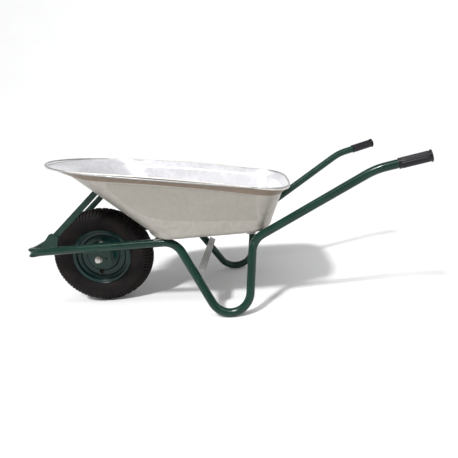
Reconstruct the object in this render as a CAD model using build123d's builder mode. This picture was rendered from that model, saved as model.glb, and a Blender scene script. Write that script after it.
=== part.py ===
from build123d import *
import os
from math import atan2, cos, radians, sin, sqrt, tan

os.makedirs("parts", exist_ok=True)

# A builder's wheelbarrow. +X runs from the wheel to the handles, +Y to the user's right, +Z up.
# The origin is on the floor, under the middle of the whole barrow.

# Driving dimensions, in millimetres.
AXLE_X = -493.3
WHEEL_RADIUS = 198.0
TUBE_RADIUS = 16.0
TUBE_WALL = 1.5
SHEET = 1.5
STRAP = 4.0

# Corners of the left frame tube, from the axle: nose, hump, foot, knee, wrist, end of the tube.
NOSE = (-240.0, -79.5, 249.5)
HUMP = (329.7, -160.2, 282.0)
FOOT = (575.3, -296.0, -160.1)
KNEE = (622.0, -186.0, 277.0)
WRIST = (1058.0, -304.0, 538.8)
TUBE_END = (1233.0, -345.3, 580.2)
BEND_RADII = [80.0, 77.7, 80.0, 250.0]

# Tray: the rim lies in a plane that falls to the rear, the floor in one that rises to the rear.
RIM_FRONT = -147.0
RIM_REAR = 784.0
RIM_HEIGHT = 592.0
RIM_FALL = 0.129
LIP_FRONT = 78.0
LIP_REAR = 20.0
NOSE_CENTRE = 150.0
HEEL_CENTRE = 600.0
HEEL_SQUARENESS = 3.2
RIM_HALF_NOSE = 252.0
RIM_HALF_HEEL = 269.0
FLOOR_FRONT = 219.0
FLOOR_REAR = 690.0
FLOOR_HALF_NOSE = 188.0
FLOOR_HALF_HEEL = 196.0
FLOOR_NOSE_CENTRE = 330.0
FLOOR_HEEL_CENTRE = 590.0
FLOOR_HEIGHT = 295.8
FLOOR_DATUM = 285.0
FLOOR_RISE = 0.0314
FLOOR_BEND = 25.0
BAND = 18.0
BEAD_RADIUS = 4.5
WIRE_RADIUS = 3.0
WALL_INSET = 4.55

# Axle line, as distances from the barrow's middle plane.
HUB_HALF = 38.0
HUB_RADIUS = 19.0
BEARING_OUTER = 16.0
BEARING_WIDTH = 10.0
BEARING_FACE = 37.0
BALL_PITCH = 11.0
BALL_RADIUS = 3.0
BALLS = 8
AXLE_RADIUS = 6.0
AXLE_FIT = 0.03
SLEEVE_RADIUS = 8.5
BRACKET_FACE = 62.0
BRACKET_SHEET = 5.0
WASHER = 2.5
NUT_HEIGHT = 10.8
HEAD_HEIGHT = 7.5
HEX_ACROSS = 19.0

# Wheel, as radii from the axle and distances from the middle plane.
TYRE_HALF = 45.5
CAVITY_RADIUS = 186.5
RIM_SHEET = 2.0
DROP_RADIUS = 89.0
SEAT_RADIUS = 102.5
FLANGE_RADIUS = 114.5
VALVE_RADIUS = 72.0
VALVE_ANGLE = 14.0

# Stay, leg brace and small fastenings.
STAY_WIDTH = 22.0
STAY_SHEET = 5.0
STAY_OUTER = 92.5
STAY_SLOPE = radians(42.9)
STAY_MIDDLE = (-131.0, 318.8)
BRACE_CORNER = (436.0, 170.0)
BRACE_SLOPE = radians(31.6)
BOLT_RADIUS = 4.0
GRIP_RADIUS = 18.0
GRIP_LENGTH = 112.0
GRIP_END_WALL = 5.0

# Straps, tabs and bolts that carry the tray.
FRONT_STRAP_X = 264.0
REAR_STRAP_X = 617.0
STRAP_WIDTH = 30.0
FRONT_BOLT_Y = 88.0
REAR_BOLT_Y = 120.0
TAB_REACH = 34.0
TAB_SHEET = 4.0
STAY_REACH = 205.0
CAP_RADIUS = 9.0
CAP_HEIGHT = 4.0
WASHER_RADIUS = 11.0
WASHER_SHEET = 1.6
SMALL_NUT_HEIGHT = 6.5
SMALL_HEX = 13.0
BOLT_SEAT = 1.0
KNEE_HALF = 190.0
GUSSET_SHEET = 4.0
GUSSET_CORNERS = [(-205, 262), (-184, 289), (-157, 323), (-146, 326), (-124, 312), (-137, 262)]
STAY_CORNERS = [(-62, -11), (-62, 11), (260, 11), (260, -11)]
BRACE_SHEET = 3.0
BRACE_TOP = 28.0
BRACE_DOWN = 31.0
BRACE_HALF = 200.0

# Axle brackets.
BRACKET_MIDDLE = 11.0
BRACKET_BITE = 3.0
BRACKET_LENGTH = 70.0
BRACKET_DROP = 84.0
BRACKET_FLANGE = 60.0
BRACKET_SPARE_X = 28.0
BRACKET_SPARE_Z = 3.0
RACE_GAP = 1.8
AXLE_WASHER_RADIUS = 14.0

# Grips, valve and tubes.
GRIP_COLLAR = 1.5
GRIP_COLLAR_WIDTH = 5.0
VALVE_HOLE = 6.0
DISC_HOLE = 9.0
VALVE_BASE = 110.9
VALVE_REACH = 32.0
VALVE_BEND = 10.0
VALVE_STEM = 4.0
INNER_TUBE_WALL = 2.0
INNER_TUBE_MIDDLE = 148.0
INNER_TUBE_ACROSS = 37.5
INNER_TUBE_DEEP = 37.0

SIDES = {"left": -1, "right": 1}
AXLE_CENTRE = (AXLE_X, 0, WHEEL_RADIUS)
AXLE_LINE = Axis(AXLE_CENTRE, (0, 1, 0))
# Radial half-plane of the wheel: local x runs along the axle and local y away from it.
RADIAL = Plane(origin=AXLE_CENTRE, x_dir=(0, 1, 0), z_dir=(1, 0, 0))


def place(point, side=-1):
    """A point given from the axle on the left side, in the barrow's frame, on the given side."""
    x, y, z = point
    return Vector(AXLE_X + x, -side * y, z)


def save(name, part):
    """Label a finished piece and write it."""
    part.label = name
    export_step(part, f"parts/{name}.step")


def across(side, distance):
    """Plane facing away from the middle, at this distance along the axle."""
    return Plane(origin=(AXLE_X, side * distance, WHEEL_RADIUS), x_dir=(1, 0, 0), z_dir=(0, side, 0))


# ---------------------------------------------------------------- frame tubes

def corners(side):
    """Corners of one frame tube."""
    return [place(p, side) for p in (NOSE, HUMP, FOOT, KNEE, WRIST, TUBE_END)]


def mitre_plane(side):
    """Plane of the mitre at the nose, whose normal points along the rail and away from the bar."""
    nose, hump = corners(side)[:2]
    rail = (hump - nose).normalized()
    bar = Vector(0, -side, 0)
    return Plane(origin=nose, z_dir=rail - bar)


def make_frame_tube(side, wall=TUBE_WALL):
    """Rail, leg and handle in one bent tube; a wall of zero gives the solid outer shape."""
    points = corners(side)
    rail = (points[1] - points[0]).normalized()
    start = points[0] - rail * 3 * TUBE_RADIUS
    with BuildPart() as tube:
        with BuildLine() as route:
            FilletPolyline(start, *points[1:], radius=BEND_RADII)
        with BuildSketch(Plane(origin=route.line @ 0, z_dir=route.line % 0)):
            Circle(TUBE_RADIUS)
            if wall:
                Circle(TUBE_RADIUS - wall, mode=Mode.SUBTRACT)
        sweep()
        split(bisect_by=mitre_plane(side), keep=Keep.TOP)
    return tube.part


def make_nose_bar():
    """Straight tube between the two mitred rails."""
    left = corners(-1)[0]
    with BuildPart() as bar:
        with BuildSketch(Plane(origin=left - Vector(0, 3 * TUBE_RADIUS, 0), z_dir=(0, 1, 0))):
            Circle(TUBE_RADIUS)
            Circle(TUBE_RADIUS - TUBE_WALL, mode=Mode.SUBTRACT)
        extrude(amount=2 * (3 * TUBE_RADIUS - left.Y))
        for side in SIDES.values():
            split(bisect_by=mitre_plane(side), keep=Keep.BOTTOM)
    return bar.part


frame_tubes = {name: make_frame_tube(side) for name, side in SIDES.items()}
tube_shapes = {name: make_frame_tube(side, wall=0) for name, side in SIDES.items()}
for name, tube in frame_tubes.items():
    save(f"frame_tube_{name}", tube)
save("nose_bar", make_nose_bar())


# ---------------------------------------------------------------- tray

def outline(front, rear, nose_centre, heel_centre, half_nose, half_heel, inset=0.0):
    """Closed outline: elliptical nose, tapering sides and a squarer heel."""
    front, rear = front + inset, rear - inset
    half_nose, half_heel = half_nose - inset, half_heel - inset
    heel_power = 2 / HEEL_SQUARENESS
    half = [(front, 0.0)]
    for step in range(1, 6):
        angle = radians(18 * step)
        half.append((nose_centre - (nose_centre - front) * cos(angle), half_nose * sin(angle)))
    for part in (1 / 3, 2 / 3):
        x = nose_centre + (heel_centre - nose_centre) * part
        half.append((x, half_nose + (half_heel - half_nose) * part))
    for step in range(0, 6):
        angle = radians(90 - 18 * step)
        x = heel_centre + (rear - heel_centre) * abs(cos(angle)) ** heel_power
        half.append((x, half_heel * sin(angle) ** heel_power if step < 5 else 0.0))
    back = [(x, -y) for x, y in reversed(half[1:-1])]
    return half + back


def rim_outline(inset):
    """Outline at the rim, on the middle line of its rolled edge for an inset of zero."""
    return outline(RIM_FRONT, RIM_REAR, NOSE_CENTRE, HEEL_CENTRE, RIM_HALF_NOSE, RIM_HALF_HEEL, inset)


def band_outline(inset):
    """Outline under the band below the rim, where the lips at the nose and the heel end."""
    front, rear = RIM_FRONT + LIP_FRONT, RIM_REAR - LIP_REAR
    return outline(front, rear, NOSE_CENTRE, HEEL_CENTRE, RIM_HALF_NOSE, RIM_HALF_HEEL, inset)


RIM_TILT = atan2(RIM_FALL, 1)
FLOOR_TILT = atan2(-FLOOR_RISE, 1)


def tray_plane(x, height, tilt):
    """Plane across the tray through (x, height), falling to the rear by the tilt."""
    return Plane(
        origin=(AXLE_X + x, 0, height), x_dir=(cos(tilt), 0, -sin(tilt)), z_dir=(sin(tilt), 0, cos(tilt))
    )


RIM_PLANE = tray_plane(0, RIM_HEIGHT + RIM_FALL * RIM_FRONT, RIM_TILT)
FLOOR_PLANE = tray_plane(0, FLOOR_HEIGHT - FLOOR_RISE * FLOOR_DATUM, FLOOR_TILT)
BAND_PLANE = RIM_PLANE.offset(-BAND)


def bend_out(height, slope, radius):
    """How far a wall of this slope, rounded into the floor, stands outside their corner."""
    tangent = radius * tan(slope / 2)
    if height >= radius * (1 - cos(slope)):
        return height / tan(slope)
    return sqrt(radius**2 - (radius - height) ** 2) - tangent


def floor_outline(height, inset):
    """Outline of the tray's outer face this high above its floor."""
    band_front = RIM_HEIGHT - BAND - FLOOR_HEIGHT
    band_rear = RIM_HEIGHT - RIM_FALL * (RIM_REAR - RIM_FRONT) - BAND - FLOOR_HEIGHT
    front_slope = atan2(band_front, FLOOR_FRONT - RIM_FRONT - LIP_FRONT)
    rear_slope = atan2(band_rear, RIM_REAR - LIP_REAR - FLOOR_REAR)
    side_slope = atan2((band_front + band_rear) / 2, RIM_HALF_HEEL - FLOOR_HALF_HEEL)
    side = bend_out(height, side_slope, FLOOR_BEND)
    return outline(
        FLOOR_FRONT - bend_out(height, front_slope, FLOOR_BEND),
        FLOOR_REAR + bend_out(height, rear_slope, FLOOR_BEND),
        FLOOR_NOSE_CENTRE,
        FLOOR_HEEL_CENTRE,
        FLOOR_HALF_NOSE + side,
        FLOOR_HALF_HEEL + side,
        inset,
    )


def make_tray_body(inset=0.0):
    """Filled tray shape, shrunk by the inset on every wall and on the floor."""
    levels = [(RIM_PLANE.offset(inset), rim_outline(WALL_INSET + inset))]
    levels.append((BAND_PLANE, band_outline(WALL_INSET + inset)))
    for height in (FLOOR_BEND * 0.7, FLOOR_BEND * 0.3, FLOOR_BEND * 0.08, 0.0):
        plane = FLOOR_PLANE.offset(height + inset)
        levels.append((plane, floor_outline(height, inset)))
    with BuildPart() as body:
        for plane, points in levels:
            with BuildSketch(plane):
                with BuildLine():
                    Spline(*points, periodic=True)
                make_face()
        loft(ruled=True)
    return body.part


def make_rim_ring(radius, bore=0.0):
    """Ring along the rim's rolled edge."""
    with BuildPart() as ring:
        with BuildLine(RIM_PLANE) as route:
            Spline(*rim_outline(0), periodic=True)
        with BuildSketch(Plane(origin=route.line @ 0, z_dir=route.line % 0)):
            Circle(radius)
            if bore:
                Circle(bore, mode=Mode.SUBTRACT)
        sweep()
    return ring.part


tray_body = make_tray_body()
tray_hollow = make_tray_body(SHEET)


def floor_plane_at(x, y):
    """Plane on the tray's underside, facing down."""
    origin = Vector(AXLE_X + x, y, FLOOR_HEIGHT + FLOOR_RISE * (x - FLOOR_DATUM))
    return Plane(origin=origin, x_dir=FLOOR_PLANE.x_dir, z_dir=FLOOR_PLANE.z_dir * -1)


def stay_point(along, off=0.0):
    """Point of the stay legs' middle line, this far up them and this far off them, as (x, z)."""
    x, z = STAY_MIDDLE
    return (
        AXLE_X + x + along * cos(STAY_SLOPE) - off * sin(STAY_SLOPE),
        z + along * sin(STAY_SLOPE) + off * cos(STAY_SLOPE),
    )


def front_wall_at(side):
    """Plane on the outside of the tray's front wall, facing away from it, where a stay's tab lies."""
    y = side * (STAY_OUTER - STAY_SHEET - TAB_REACH / 2)
    x, z = stay_point(0)
    direction = Vector(cos(STAY_SLOPE), 0, sin(STAY_SLOPE))
    start = Vector(x, y, z)
    hits = []
    for face in tray_body.faces():
        hits += face.find_intersection_points(Axis(start, direction))
    point, normal = min(hits, key=lambda hit: (hit[0] - start).length)
    outward = normal * (-1 if normal.dot(direction) > 0 else 1)
    return Plane(origin=point, x_dir=Vector(0, 1, 0).cross(outward), z_dir=outward)


stay_planes = {name: front_wall_at(side) for name, side in SIDES.items()}
strap_planes = [
    floor_plane_at(x, side * y)
    for x, y in ((FRONT_STRAP_X, FRONT_BOLT_Y), (REAR_STRAP_X, REAR_BOLT_Y))
    for side in SIDES.values()
]


def make_tray():
    """One pressed sheet, with the holes for its bolts."""
    with BuildPart() as tray:
        add(tray_body)
        add(tray_hollow, mode=Mode.SUBTRACT)
        for plane in [*strap_planes, *stay_planes.values()]:
            with BuildSketch(plane):
                Circle(BOLT_RADIUS + AXLE_FIT)
            extrude(amount=4 * SHEET, both=True, mode=Mode.SUBTRACT)
    return tray.part


save("tray", make_tray())
save("tray_rolled_rim", make_rim_ring(BEAD_RADIUS, WIRE_RADIUS))
save("tray_rim_wire", make_rim_ring(WIRE_RADIUS - AXLE_FIT))


# ---------------------------------------------------------------- what carries the tray

def make_front_strap():
    """Flat bar between the rails, under the front of the tray's floor."""
    with BuildPart() as strap:
        with BuildSketch(floor_plane_at(FRONT_STRAP_X, 0)):
            Rectangle(STRAP_WIDTH, 2 * place(HUMP, 1).Y)
        extrude(amount=STRAP)
        for shape in tube_shapes.values():
            add(shape, mode=Mode.SUBTRACT)
        for side in SIDES.values():
            with BuildSketch(floor_plane_at(FRONT_STRAP_X, side * FRONT_BOLT_Y)):
                Circle(BOLT_RADIUS + AXLE_FIT)
            extrude(amount=2 * STRAP, mode=Mode.SUBTRACT)
    return strap.part.solids().sort_by(SortBy.VOLUME)[-1]


def make_rear_strap():
    """Angle bar between the knees, under the rear of the tray's floor."""
    half = KNEE_HALF
    plane = floor_plane_at(REAR_STRAP_X, 0)
    web = REAR_STRAP_X + STRAP_WIDTH / 2 - STRAP / 2
    with BuildPart() as strap:
        with BuildSketch(plane):
            Rectangle(STRAP_WIDTH, 2 * half)
        extrude(amount=STRAP)
        with BuildSketch(floor_plane_at(web, 0)):
            Rectangle(STRAP, 2 * half)
        extrude(amount=STRAP_WIDTH)
        for shape in tube_shapes.values():
            add(shape, mode=Mode.SUBTRACT)
        for side in SIDES.values():
            with BuildSketch(floor_plane_at(REAR_STRAP_X, side * REAR_BOLT_Y)):
                Circle(BOLT_RADIUS + AXLE_FIT)
            extrude(amount=2 * STRAP, mode=Mode.SUBTRACT)
    return strap.part.solids().sort_by(SortBy.VOLUME)[-1]


save("tray_strap_front", make_front_strap())
save("tray_strap_rear", make_rear_strap())


def make_stay(name, side):
    """Flat bar from the rail up to the tray, with a tab that is turned in against the front wall."""
    wall = stay_planes[name]
    face = Plane(origin=(0, side * STAY_OUTER, 0), x_dir=(1, 0, 0), z_dir=(0, -1, 0))
    with BuildPart() as stay:
        with BuildSketch(face):
            with BuildLine():
                Polyline(*[stay_point(*p) for p in STAY_CORNERS], close=True)
            make_face()
        extrude(amount=side * STAY_SHEET)
        with BuildSketch(wall):
            Rectangle(STAY_WIDTH, TAB_REACH + STAY_SHEET)
        extrude(amount=TAB_SHEET)
        for shape in [*tube_shapes.values(), tray_body]:
            add(shape, mode=Mode.SUBTRACT)
        with BuildSketch(wall):
            Circle(BOLT_RADIUS + AXLE_FIT)
        extrude(amount=2 * TAB_SHEET, mode=Mode.SUBTRACT)
    return stay.part


def make_gusset(side):
    """Plate on the outside of a stay leg's foot, standing on the rail."""
    face = Plane(origin=(0, side * STAY_OUTER, 0), x_dir=(1, 0, 0), z_dir=(0, -1, 0))
    with BuildPart() as gusset:
        with BuildSketch(face):
            with BuildLine():
                Polyline(*[(AXLE_X + x, z) for x, z in GUSSET_CORNERS], close=True)
            make_face()
        extrude(amount=-side * GUSSET_SHEET)
        for shape in tube_shapes.values():
            add(shape, mode=Mode.SUBTRACT)
    return gusset.part.solids().sort_by(SortBy.VOLUME)[-1]


for name, side in SIDES.items():
    save(f"stay_{name}", make_stay(name, side))
    save(f"stay_gusset_{name}", make_gusset(side))


def make_leg_brace():
    """Angle bar between the slanted legs, with its corner up and to the rear."""
    x, z = BRACE_CORNER
    section = Plane(origin=(AXLE_X + x, BRACE_HALF, z), x_dir=(1, 0, 0), z_dir=(0, -1, 0))
    top = (-cos(BRACE_SLOPE), sin(BRACE_SLOPE))
    down = (-sin(BRACE_SLOPE), -cos(BRACE_SLOPE))
    corner_points = [
        (0, 0),
        (BRACE_TOP, 0),
        (BRACE_TOP, BRACE_SHEET),
        (BRACE_SHEET, BRACE_SHEET),
        (BRACE_SHEET, BRACE_DOWN),
        (0, BRACE_DOWN),
    ]
    outline_points = [(a * top[0] + b * down[0], a * top[1] + b * down[1]) for a, b in corner_points]
    with BuildPart() as brace:
        with BuildSketch(section):
            with BuildLine():
                Polyline(*outline_points, close=True)
            make_face()
        extrude(amount=2 * BRACE_HALF)
        for shape in tube_shapes.values():
            add(shape, mode=Mode.SUBTRACT)
    return brace.part.solids().sort_by(SortBy.VOLUME)[-1]


save("leg_brace", make_leg_brace())


# ---------------------------------------------------------------- tray and stay bolts

def make_bolt(plane, grip):
    """Round-headed bolt: the head lies inside the tray, the plane is the sheet's outer face."""
    with BuildPart() as bolt:
        with BuildSketch(plane.offset(-SHEET)):
            Circle(BOLT_RADIUS)
        extrude(amount=grip + SHEET + WASHER_SHEET + SMALL_NUT_HEIGHT + 3)
        with BuildSketch(plane.offset(-SHEET - BOLT_SEAT)):
            Circle(CAP_RADIUS)
        extrude(amount=-CAP_HEIGHT, taper=35)
        with BuildSketch(plane.offset(-SHEET - BOLT_SEAT)):
            Circle(BOLT_RADIUS)
        extrude(amount=BOLT_SEAT)
    return bolt.part


def make_washer(plane, grip):
    with BuildPart() as washer:
        with BuildSketch(plane.offset(grip)):
            Circle(WASHER_RADIUS)
            Circle(BOLT_RADIUS + AXLE_FIT, mode=Mode.SUBTRACT)
        extrude(amount=WASHER_SHEET)
    return washer.part


def make_nut(plane, start, across_flats, height, bore):
    with BuildPart() as nut:
        with BuildSketch(plane.offset(start)):
            RegularPolygon(across_flats / 2, 6, major_radius=False)
            Circle(bore, mode=Mode.SUBTRACT)
        extrude(amount=height)
    return nut.part


for group, planes, grip in (("tray", strap_planes, STRAP), ("stay", stay_planes.values(), TAB_SHEET)):
    save(f"{group}_bolts", Compound([make_bolt(plane, grip) for plane in planes]))
    save(f"{group}_washers", Compound([make_washer(plane, grip) for plane in planes]))
    nuts = [
        make_nut(plane, grip + WASHER_SHEET, SMALL_HEX, SMALL_NUT_HEIGHT, BOLT_RADIUS + AXLE_FIT)
        for plane in planes
    ]
    save(f"{group}_nuts", Compound(nuts))


# ---------------------------------------------------------------- grips

def make_grip(side):
    """Rubber sleeve with a collar and a closed end."""
    end, wrist = place(TUBE_END, side), place(WRIST, side)
    outward = (end - wrist).normalized()
    plane = Plane(origin=end, z_dir=outward)
    with BuildPart() as grip:
        with BuildSketch(plane.offset(GRIP_END_WALL)):
            Circle(GRIP_RADIUS)
        extrude(amount=-GRIP_LENGTH)
        fillet(grip.faces().filter_by(GeomType.PLANE).sort_by(Axis((0, 0, 0), outward))[-1].edges(), 3)
        with BuildSketch(plane.offset(GRIP_END_WALL - GRIP_LENGTH)):
            Circle(GRIP_RADIUS + GRIP_COLLAR)
        extrude(amount=GRIP_COLLAR_WIDTH)
        with BuildSketch(plane):
            Circle(TUBE_RADIUS)
        extrude(amount=-GRIP_LENGTH, mode=Mode.SUBTRACT)
    return grip.part


for name, side in SIDES.items():
    save(f"grip_{name}", make_grip(side))


# ---------------------------------------------------------------- axle, brackets and bearings

def turned(points):
    """A solid of revolution about the axle from (distance along it, radius) points."""
    with BuildPart() as piece:
        with BuildSketch(RADIAL):
            with BuildLine():
                Polyline(*points, close=True)
            make_face()
        revolve(axis=AXLE_LINE)
    return piece.part


def ring(start, end, inner, outer):
    """A plain ring about the axle."""
    return turned([(start, inner), (end, inner), (end, outer), (start, outer)])


def make_bracket(side):
    """Plate for the axle, with a flange that is turned out under the rail."""
    rail = (place(HUMP, side) - place(NOSE, side)).normalized()
    slope = atan2(rail.Z, rail.X)
    start = place(NOSE, side)
    reach = AXLE_X + BRACKET_MIDDLE - start.X
    under = start + rail * (reach / rail.X) - Vector(0, 0, TUBE_RADIUS / cos(slope) - BRACKET_BITE)
    along = Vector(cos(slope), 0, sin(slope))
    section = Plane(
        origin=(under.X, side * BRACKET_FACE, under.Z), x_dir=(0, side, 0), z_dir=along * side
    )
    half = BRACKET_LENGTH / 2
    with BuildPart() as bracket:
        with BuildSketch(section):
            with BuildLine():
                FilletPolyline(
                    (BRACKET_SHEET / 2, -BRACKET_DROP),
                    (BRACKET_SHEET / 2, -BRACKET_SHEET / 2),
                    (BRACKET_FLANGE, -BRACKET_SHEET / 2),
                    radius=BRACKET_SHEET,
                )
            trace(line_width=BRACKET_SHEET)
        extrude(amount=half, both=True)
        for shape in tube_shapes.values():
            add(shape, mode=Mode.SUBTRACT)
        with BuildSketch(across(side, BRACKET_FACE)):
            Circle(AXLE_RADIUS + AXLE_FIT)
            with Locations((BRACKET_SPARE_X, -side * BRACKET_SPARE_Z)):
                Circle(BOLT_RADIUS)
        extrude(amount=BRACKET_SHEET, mode=Mode.SUBTRACT)
    return bracket.part.solids().sort_by(SortBy.VOLUME)[-1]


for name, side in SIDES.items():
    save(f"axle_bracket_{name}", make_bracket(side))


def make_axle():
    """Hexagon-headed bolt, head on the right."""
    head = BRACKET_FACE + BRACKET_SHEET + WASHER
    with BuildPart() as axle:
        with BuildSketch(across(-1, head + NUT_HEIGHT + 4)):
            Circle(AXLE_RADIUS)
        extrude(amount=-(2 * head + NUT_HEIGHT + 4))
        chamfer(axle.edges().filter_by(GeomType.CIRCLE).sort_by(Axis.Y)[0], 1)
        with BuildSketch(across(1, head)):
            RegularPolygon(HEX_ACROSS / 2, 6, major_radius=False)
        extrude(amount=HEAD_HEIGHT)
    return axle.part


save("axle", make_axle())
nut_start = BRACKET_FACE + BRACKET_SHEET + WASHER
save("axle_nut", make_nut(across(-1, nut_start), 0, HEX_ACROSS, NUT_HEIGHT, AXLE_RADIUS + AXLE_FIT))

bore = AXLE_RADIUS + AXLE_FIT
bearing_start = BEARING_FACE - BEARING_WIDTH
bearing_middle = BEARING_FACE - BEARING_WIDTH / 2
save("bearing_spacer", ring(-bearing_start, bearing_start, bore, SLEEVE_RADIUS))


def make_race(side, inner, outer):
    """Bearing ring with its ball groove."""
    with BuildPart() as race:
        add(ring(side * bearing_start, side * BEARING_FACE, inner, outer))
        with BuildSketch(RADIAL):
            with Locations((side * bearing_middle, BALL_PITCH)):
                Circle(BALL_RADIUS + AXLE_FIT)
        revolve(axis=AXLE_LINE, mode=Mode.SUBTRACT)
    return race.part


def make_balls(side):
    """The balls of one bearing."""
    with BuildPart() as balls:
        with Locations(across(side, bearing_middle)):
            with PolarLocations(BALL_PITCH, BALLS):
                Sphere(BALL_RADIUS)
    return balls.part


washers = []
for name, side in SIDES.items():
    save(f"axle_sleeve_{name}", ring(side * BEARING_FACE, side * BRACKET_FACE, bore, SLEEVE_RADIUS))
    save(f"bearing_inner_ring_{name}", make_race(side, bore, BALL_PITCH - RACE_GAP))
    save(f"bearing_outer_ring_{name}", make_race(side, BALL_PITCH + RACE_GAP, BEARING_OUTER))
    save(f"bearing_balls_{name}", make_balls(side))
    plate = side * (BRACKET_FACE + BRACKET_SHEET)
    washers.append(ring(plate, plate + side * WASHER, bore, AXLE_WASHER_RADIUS))
save("axle_washers", Compound(washers))


# ---------------------------------------------------------------- wheel

def pressed(points, radii):
    """A pressed wheel part: a sheet revolved about the axle along this middle line."""
    with BuildPart() as piece:
        with BuildSketch(RADIAL):
            with BuildLine():
                FilletPolyline(*points, radius=radii)
            trace(line_width=RIM_SHEET)
        revolve(axis=AXLE_LINE)
    return piece.part


def valve_line():
    """Axis from the axle towards the valve, in the wheel's middle plane."""
    angle = radians(VALVE_ANGLE)
    return Vector(-sin(angle), 0, -cos(angle))


valve_path = valve_line()
valve_corner = Vector(*AXLE_CENTRE) + valve_path * VALVE_RADIUS


def make_rim():
    """Drop-centre rim with a hole for the valve."""
    half = [(15, DROP_RADIUS), (21, SEAT_RADIUS - 1.5), (32.5, SEAT_RADIUS), (32.5, 112), (35, FLANGE_RADIUS)]
    left = [(-a, r) for a, r in reversed(half)]
    with BuildPart() as rim:
        add(pressed([*left, *half], [1.5, 3, 4, 4, 4, 4, 3, 1.5]))
        with BuildSketch(Plane(origin=valve_corner, z_dir=valve_path)):
            Circle(VALVE_HOLE)
        extrude(amount=DROP_RADIUS - VALVE_RADIUS + 6, mode=Mode.SUBTRACT)
    return rim.part


def make_disc(side):
    """Dished disc from the hub to the rim's drop centre."""
    inner = DROP_RADIUS - RIM_SHEET / 2
    line = [
        (28, HUB_RADIUS),
        (28, 34),
        (22, 41),
        (22, 58),
        (15, 65),
        (15, inner - RIM_SHEET / 2),
        (5, inner - RIM_SHEET / 2),
    ]
    with BuildPart() as disc:
        add(pressed([(side * a, r) for a, r in line], [3, 3, 3, 3, 4]))
        with BuildSketch(Plane(origin=valve_corner, z_dir=(0, side, 0))):
            Circle(DISC_HOLE)
        extrude(amount=BEARING_FACE, mode=Mode.SUBTRACT)
    return disc.part


def make_tyre():
    """Tyre casing, open towards the rim."""
    foot = [(28.0, 103.8), (31.2, 104.2), (31.2, 113.0)]
    flank = [(38.0, 122.0), (44.0, 137.0), (TYRE_HALF, 152.0), (43.0, 168.0), (36.0, 181.5), (25.0, 190.5), (12.0, 196.0)]
    cavity = [(18.0, 184.0), (30.0, 177.5), (38.0, 166.0), (41.0, 150.0), (35.0, 128.0), (23.0, 112.0)]
    left = [(-a, r) for a, r in [foot[-1], *flank]]
    right = [(a, r) for a, r in [foot[-1], *flank][::-1]]
    cavity_left = [(-a, r) for a, r in cavity[::-1]]
    with BuildPart() as tyre:
        with BuildSketch(RADIAL):
            with BuildLine():
                Spline(*left, (0.0, WHEEL_RADIUS), *right)
                Spline(*cavity_left, (0.0, CAVITY_RADIUS), *cavity)
                for side in SIDES.values():
                    spread = [(side * a, r) for a, r in foot]
                    Polyline(*spread)
                    Line(spread[0], (side * cavity[-1][0], cavity[-1][1]))
            make_face()
        revolve(axis=AXLE_LINE)
    return tyre.part


def make_inner_tube():
    """Rubber tube inside the tyre, with a wall of even thickness."""
    with BuildPart() as tube:
        with BuildSketch(RADIAL):
            with Locations((0, INNER_TUBE_MIDDLE)):
                Ellipse(INNER_TUBE_ACROSS, INNER_TUBE_DEEP)
                Ellipse(INNER_TUBE_ACROSS - INNER_TUBE_WALL, INNER_TUBE_DEEP - INNER_TUBE_WALL, mode=Mode.SUBTRACT)
        revolve(axis=AXLE_LINE)
    return tube.part


def make_valve():
    """Bent metal valve: in through the rim, out through the left disc."""
    base = Vector(*AXLE_CENTRE) + valve_path * VALVE_BASE
    with BuildPart() as valve:
        with BuildLine() as route:
            FilletPolyline(base, valve_corner, valve_corner - Vector(0, VALVE_REACH, 0), radius=VALVE_BEND)
        with BuildSketch(Plane(origin=route.line @ 0, z_dir=route.line % 0)):
            Circle(VALVE_STEM)
        sweep()
    return valve.part


def make_valve_cap():
    with BuildPart() as cap:
        with BuildSketch(Plane(origin=valve_corner - Vector(0, VALVE_REACH - 8, 0), z_dir=(0, -1, 0))):
            Circle(VALVE_STEM + 1.5)
        extrude(amount=11)
        with BuildSketch(Plane(origin=valve_corner - Vector(0, VALVE_REACH - 8, 0), z_dir=(0, -1, 0))):
            Circle(VALVE_STEM + AXLE_FIT)
        extrude(amount=8, mode=Mode.SUBTRACT)
    return cap.part


save("rim", make_rim())
for name, side in SIDES.items():
    save(f"wheel_disc_{name}", make_disc(side))
save("hub_tube", ring(-HUB_HALF, HUB_HALF, BEARING_OUTER, HUB_RADIUS))
save("tyre", make_tyre())
save("inner_tube", make_inner_tube())
save("valve_stem", make_valve())
save("valve_cap", make_valve_cap())
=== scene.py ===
"""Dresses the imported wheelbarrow: a sheet tray, a treaded tyre, ribbed grips, welds and finishes.

All sizes are in metres. +X runs from the wheel to the handles, +Y to the user's right and +Z up.
"""

from math import cos, exp, pi, radians, sin, sqrt, tan, tau

import bmesh
import bpy
from bpy.props import FloatProperty, FloatVectorProperty, IntProperty, PointerProperty
from bpy.types import Operator, Panel, PropertyGroup
from mathutils import Matrix, Vector


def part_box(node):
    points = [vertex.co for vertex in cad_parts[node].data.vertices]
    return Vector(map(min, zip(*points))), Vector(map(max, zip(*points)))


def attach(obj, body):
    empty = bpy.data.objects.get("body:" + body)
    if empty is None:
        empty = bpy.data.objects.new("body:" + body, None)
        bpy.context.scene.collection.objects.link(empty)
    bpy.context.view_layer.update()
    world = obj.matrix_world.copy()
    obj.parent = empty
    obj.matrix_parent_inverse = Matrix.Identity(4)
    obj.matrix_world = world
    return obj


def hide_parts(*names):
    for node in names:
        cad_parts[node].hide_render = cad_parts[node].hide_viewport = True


bl_info = {
    "name": "Wheelbarrow dresser",
    "version": (1, 0, 0),
    "blender": (4, 5, 0),
    "location": "View3D > Sidebar > Wheelbarrow",
    "description": "Builds the tray, tyre, grips, welds, finishes and studio of a builder's wheelbarrow",
    "category": "Object",
}

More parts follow.
